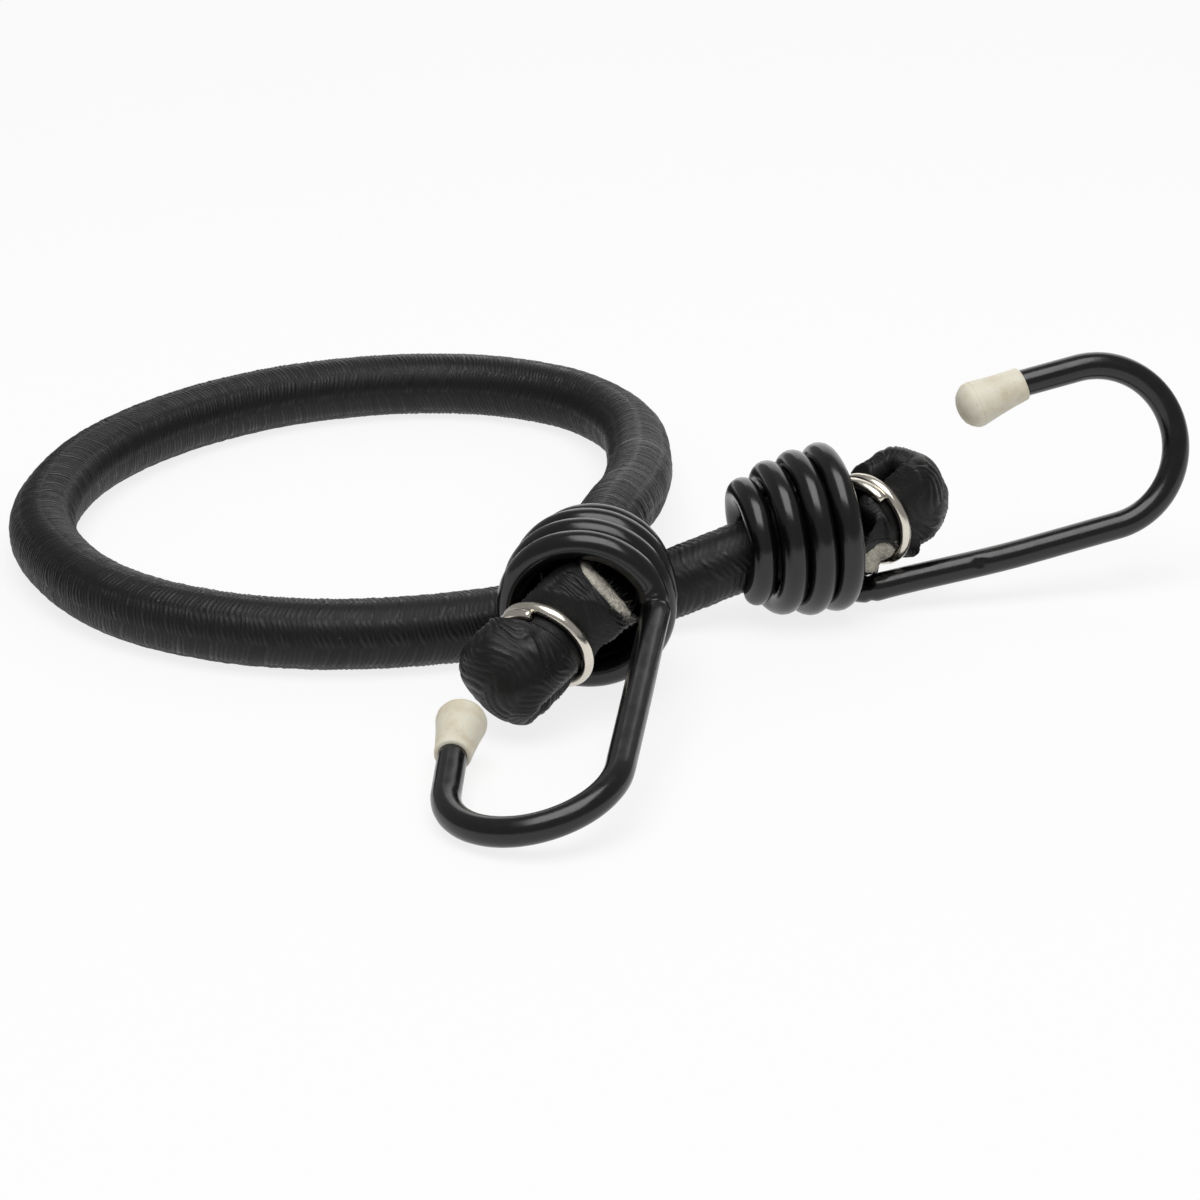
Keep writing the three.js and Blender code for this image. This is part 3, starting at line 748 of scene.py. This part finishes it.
def drawn_steel_material(name):
    """Drawn steel wire: grey, with lines along its length."""
    material, shader = new_material(name)
    link = material.node_tree.links.new
    place = add_node(material, "ShaderNodeTexCoord", {})
    lines = add_node(material, "ShaderNodeTexNoise",
                     {"Vector": place.outputs["Object"], "Scale": 1 / (0.8 * MM), "Detail": 3.0})
    tone = add_node(material, "ShaderNodeMix",
                    {"Factor": lines.outputs["Fac"], "A": linear(0x8A8B8D), "B": linear(0xB9B9BA)},
                    data_type="RGBA")
    link(tone.outputs["Result"], shader.inputs["Base Color"])
    shader.inputs["Metallic"].default_value = 1.0
    shader.inputs["Roughness"].default_value = 0.38
    return material


drawn_steel = drawn_steel_material("drawn steel wire")
for name, end, body, line in (
        ("front", FRONT, "front_hook", front_wire),
        ("rear", REAR, "rear_hook", rear_wire)):
    steel_rings = wire_rings(line, np.full(len(line), STEEL_RADIUS), STEEL_SIDES)
    steel = make_piece(f"{name}_steel_wire", [placed(end, steel_rings)], drawn_steel)
    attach(steel, body)
    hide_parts(f"{name}_hook_steel")

# Tip caps: soft cream vinyl, moulded with a parting line behind the rounded end.
# Each is pushed over the tip of the hook's wire and holds by its own grip.
CAP_SIDES = 40
CAP_PROFILE = [
    (-0.05, 1.99), (0.0, 2.3), (0.12, 2.46), (0.5, 2.52), (2.4, 2.68), (4.75, 2.98),
    (6.85, 3.32), (7.55, 3.42), (7.7, 3.44), (7.78, 3.36), (7.86, 3.43), (8.2, 3.42),
    (8.75, 3.2), (9.3, 2.8), (9.85, 2.2), (10.2, 1.4), (10.4, 0.6), (10.45, 0.05),
]


def cap_material(name):
    """Cream moulded vinyl, slightly translucent, mottled with beige grease and dust."""
    material, shader = new_material(name)
    link = material.node_tree.links.new
    place = add_node(material, "ShaderNodeTexCoord", {})
    stains = add_node(material, "ShaderNodeTexNoise",
                      {"Vector": place.outputs["Object"], "Scale": 1 / (3.4 * MM), "Detail": 5.0,
                       "Roughness": 0.62})
    dust = add_node(material, "ShaderNodeTexNoise",
                    {"Vector": place.outputs["Object"], "Scale": 1 / (0.6 * MM), "Detail": 3.0})
    stained = add_node(material, "ShaderNodeMapRange",
                       {"Value": stains.outputs["Fac"], "From Min": 0.45, "From Max": 0.72})
    tone = add_node(material, "ShaderNodeMix",
                    {"Factor": stained.outputs["Result"], "A": linear(0xE0DBC9), "B": linear(0xD0C4A8)},
                    data_type="RGBA")
    specks = add_node(material, "ShaderNodeMapRange",
                      {"Value": dust.outputs["Fac"], "From Min": 0.62, "From Max": 0.75, "To Max": 0.35})
    soiled = add_node(material, "ShaderNodeMix",
                      {"Factor": specks.outputs["Result"], "A": tone.outputs["Result"],
                       "B": linear(0x9C9484)}, data_type="RGBA")
    dull = add_node(material, "ShaderNodeMapRange",
                    {"Value": stains.outputs["Fac"], "To Min": 0.38, "To Max": 0.6})
    skin = add_node(material, "ShaderNodeBump",
                    {"Height": dust.outputs["Fac"], "Strength": 0.15, "Distance": 0.1 * MM})
    link(soiled.outputs["Result"], shader.inputs["Base Color"])
    link(dull.outputs["Result"], shader.inputs["Roughness"])
    link(skin.outputs["Normal"], shader.inputs["Normal"])
    shader.inputs["Subsurface Weight"].default_value = 0.15
    shader.inputs["Subsurface Radius"].default_value = (1.2 * MM, 0.9 * MM, 0.6 * MM)
    shader.inputs["Subsurface Scale"].default_value = 1.0
    return material


cream_vinyl = cap_material("cream moulded vinyl")


def tip_cap(name, end, cap_rim, cap_way, body, node):
    """Rounded cap on a hook's tip."""
    up = np.cross(shank_way, mouth_way)
    side = np.cross(cap_way, up)
    round_cap = 2 * np.pi * np.arange(CAP_SIDES) / CAP_SIDES
    local = np.array([[cap_rim + along * cap_way + radius * (math.cos(a) * side + math.sin(a) * up)
                       for a in round_cap] for along, radius in CAP_PROFILE])
    cap = make_piece(name, [placed(end, local)], cream_vinyl)
    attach(cap, body)
    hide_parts(node)


tip_cap("front_cream_cap", FRONT, *front_tip, "front_hook", "front_tip_cap")
tip_cap("rear_cream_cap", REAR, *rear_tip, "rear_hook", "rear_tip_cap")

# Floor and studio: a wide sheet of white paper under two large soft lamps, in a plain pale room.
# The camera and mirrors see the paper nearly white, and it keeps the object's soft shadow.
ROOM_LIGHT = 0.3
WHITE_SHARE = 0.82
SHEET_REACH = 4
world = bpy.data.worlds.new("white studio")
bpy.context.scene.world = world
world.use_nodes = True
glow = world.node_tree.nodes["Background"]
glow.inputs["Strength"].default_value = ROOM_LIGHT
glow.inputs["Color"].default_value = (1.0, 1.0, 1.0, 1.0)

paper, paper_shader = new_material("white paper sheet")
paper_shader.inputs["Base Color"].default_value = linear(0xF4F4F4)
paper_shader.inputs["Roughness"].default_value = 0.9
paper_ray = add_node(paper, "ShaderNodeLightPath", {})
seen = add_node(paper, "ShaderNodeMath",
                {0: paper_ray.outputs["Is Camera Ray"], 1: paper_ray.outputs["Is Glossy Ray"]},
                operation="MAXIMUM")
seen_too = add_node(paper, "ShaderNodeMath",
                    {0: seen.outputs["Value"], 1: paper_ray.outputs["Is Transmission Ray"]},
                    operation="MAXIMUM")
share_white = add_node(paper, "ShaderNodeMath", {0: seen_too.outputs["Value"], 1: WHITE_SHARE},
                       operation="MULTIPLY")
white = add_node(paper, "ShaderNodeEmission", {"Color": (1.0, 1.0, 1.0, 1.0), "Strength": 1.0})
sheet_mix = add_node(paper, "ShaderNodeMixShader",
                     {0: share_white.outputs["Value"], 1: paper_shader.outputs["BSDF"],
                      2: white.outputs["Emission"]})
paper_output = paper.node_tree.nodes["Material Output"]
paper.node_tree.links.new(sheet_mix.outputs["Shader"], paper_output.inputs["Surface"])
sheet_mesh = bpy.data.meshes.new("floor_sheet")
sheet_corners = [(x * SHEET_REACH, y * SHEET_REACH, 0) for x, y in ((-1, -1), (1, -1), (1, 1), (-1, 1))]
sheet_mesh.from_pydata(sheet_corners, [], [(0, 1, 2, 3)])
sheet_mesh.materials.append(paper)
floor_sheet = bpy.data.objects.new("floor_sheet", sheet_mesh)
bpy.context.scene.collection.objects.link(floor_sheet)


def soft_lamp(name, place, aim, size, power):
    """Square soft box at a place, turned to an aim, both in metres."""
    data = bpy.data.lights.new(name, "AREA")
    data.shape = "SQUARE"
    data.size = size
    data.energy = power
    lamp = bpy.data.objects.new(name, data)
    lamp.location = place
    way = np.array(aim, float) - np.array(place, float)
    flat = math.hypot(way[0], way[1])
    lamp.rotation_euler = (math.atan2(flat, -way[2]), 0, math.atan2(way[1], way[0]) - math.pi / 2)
    bpy.context.scene.collection.objects.link(lamp)


soft_lamp("top_box", (0.0, -0.25, 0.87), (0, 0, 0), 0.75, 6.5)
soft_lamp("back_box", (0.25, 1.2, 0.4), (0, 0, 0), 1.2, 4.8)

# Camera at the photograph's height and distance, with a long lens.
# It stands in front and looks down at the floor, just right of the footprint's middle.
CAMERA_LENS = 118.122
CAMERA_DISTANCE = 577.0
CAMERA_RISE = 21.5
camera_data = bpy.data.cameras.new("studio_camera")
camera_data.lens = CAMERA_LENS
camera_data.sensor_width = 36.0
camera_data.clip_end = 20.0
camera = bpy.data.objects.new("studio_camera", camera_data)
rise = math.radians(CAMERA_RISE)
camera.location = (FOOTPRINT_SHIFT + CAMERA_DISTANCE * np.array([0, -math.cos(rise), math.sin(rise)])) * MM
camera.rotation_euler = (math.pi / 2 - rise, 0, 0)
bpy.context.scene.collection.objects.link(camera)
bpy.context.scene.camera = camera
bpy.context.scene.view_settings.view_transform = "Standard"

bpy.context.view_layer.update()
